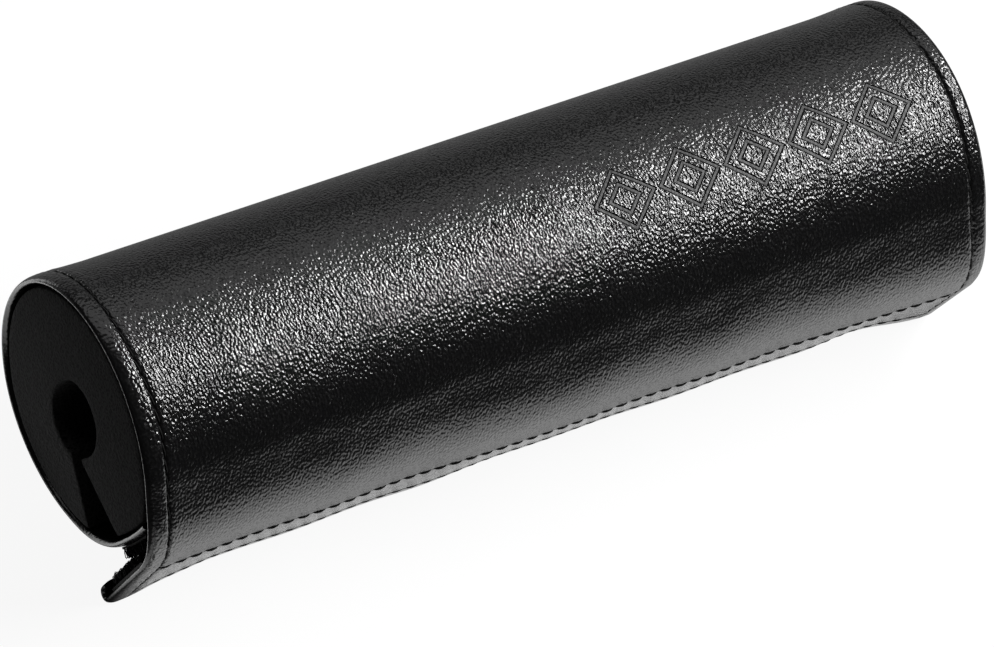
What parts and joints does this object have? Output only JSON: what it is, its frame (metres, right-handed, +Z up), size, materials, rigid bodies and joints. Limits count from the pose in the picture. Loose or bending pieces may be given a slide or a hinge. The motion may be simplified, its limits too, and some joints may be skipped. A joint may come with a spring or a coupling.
{
  "type": "handlebar pad",
  "caption": "Cylindrical bicycle handlebar pad: slit foam roll with a bore for the bar, in a black stitched leather-look wrap that closes with hook and loop tape.",
  "frame": {"origin": "centre of the bounding box, on the surface the pad lies on", "axes": "+X along the bore from the near end to the far end, +Z up, the flap's free edge towards -Y"},
  "size_m": [0.2, 0.0654, 0.0596],
  "materials": {
    "cover_leather": "black coated fabric with a fine pebbled grain, satin gloss",
    "foam": "black closed-cell foam, matt, fine cells",
    "hook_tape": "black nylon hook tape",
    "loop_tape": "black nylon loop tape",
    "thread": "black bonded sewing thread"
  },
  "bodies": {
    "root": {"cover": "cover_leather", "foam_core": "foam", "hook_tape": "hook_tape", "loop_tape": "loop_tape", "near_end_thread": "thread", "far_end_thread": "thread", "flap_crease_thread": "thread", "flap_edge_thread": "thread"}
  },
  "joints": []
}
